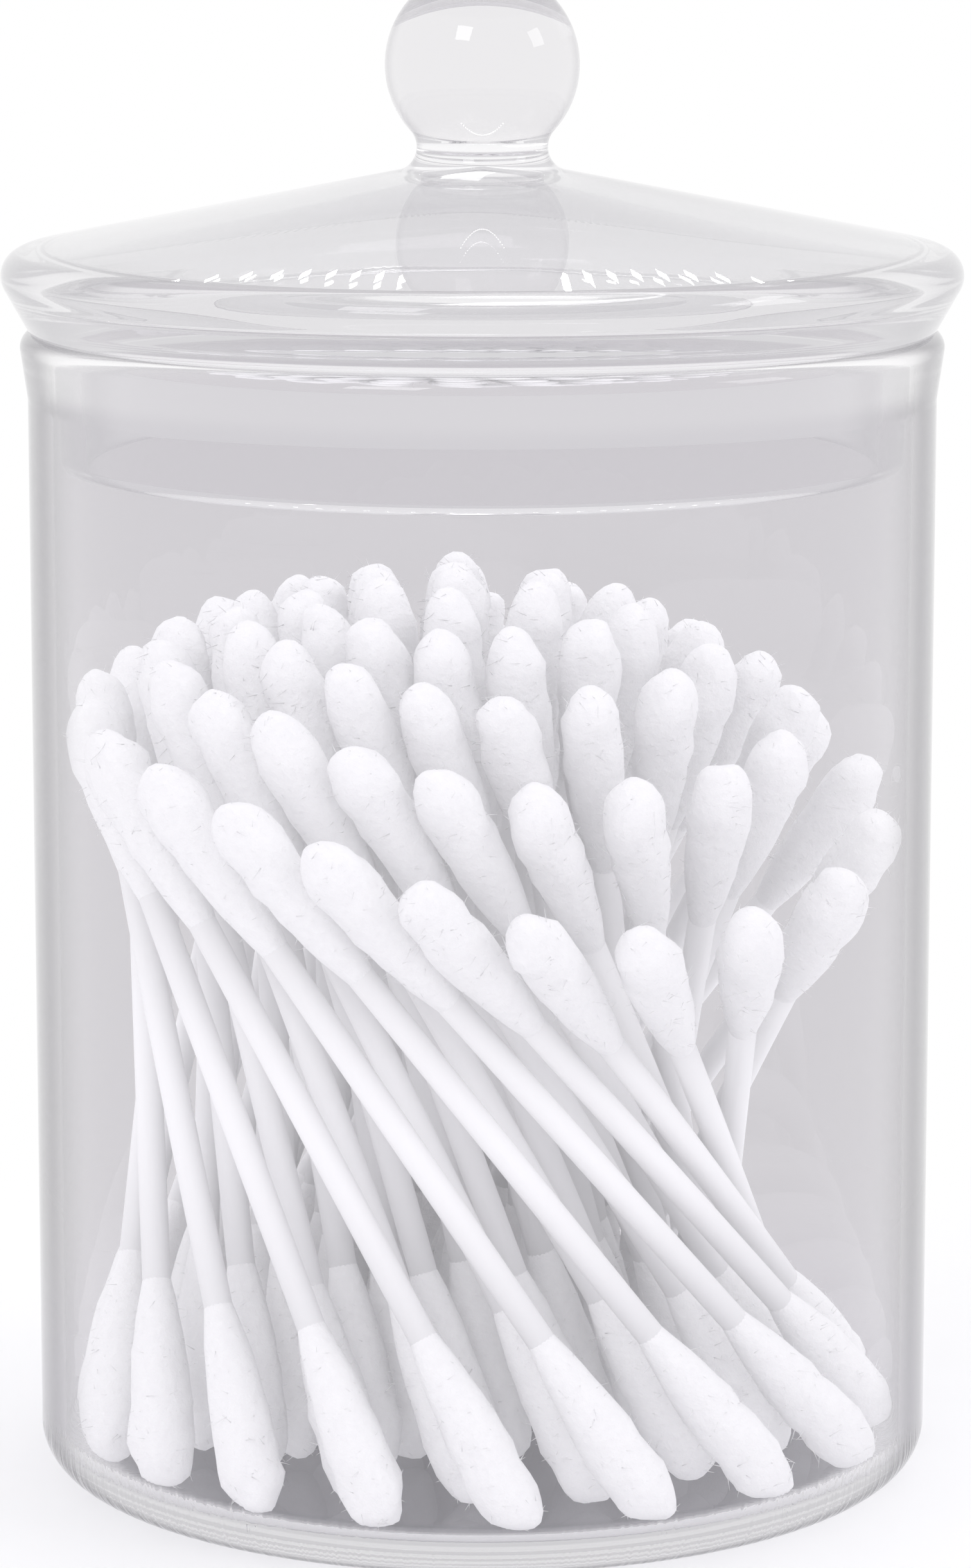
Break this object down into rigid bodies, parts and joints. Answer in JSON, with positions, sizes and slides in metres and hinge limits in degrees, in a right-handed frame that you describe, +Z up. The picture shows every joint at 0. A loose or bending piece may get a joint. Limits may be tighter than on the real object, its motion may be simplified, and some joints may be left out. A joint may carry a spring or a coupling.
{
  "type": "glass beauty jar",
  "caption": "Clear glass cylinder jar with a lift-off cone lid, ball knob and skirt that drops into the mouth, holding a twisted sheaf of cotton swabs.",
  "frame": {"origin": "centre of the jar's base, on the surface it stands on", "axes": "+Z up along the jar's axis, -Y towards the viewer of the picture, +X to the viewer's right"},
  "size_m": [0.0792, 0.0792, 0.1255],
  "materials": {
    "jar_glass": "clear blown glass, smooth and glossy, fire-polished lip",
    "lid_glass": "clear blown glass, smooth and glossy",
    "paper_stick": "tightly rolled white paper, matt",
    "cotton": "wound white cotton wool, matt and fuzzy"
  },
  "bodies": {
    "jar": {"jar": "jar_glass", "outer_ring_sticks": "paper_stick", "outer_ring_buds": "cotton", "second_ring_sticks": "paper_stick", "second_ring_buds": "cotton", "third_ring_sticks": "paper_stick", "third_ring_buds": "cotton", "fourth_ring_sticks": "paper_stick", "fourth_ring_buds": "cotton", "core_sticks": "paper_stick", "core_buds": "cotton"},
    "lid": {"lid": "lid_glass"}
  },
  "joints": [
    {"name": "lid_lift", "type": "slide", "parent": "jar", "child": "lid", "axis": [0, 0, 1], "range_m": [0, 0.045]}
  ]
}
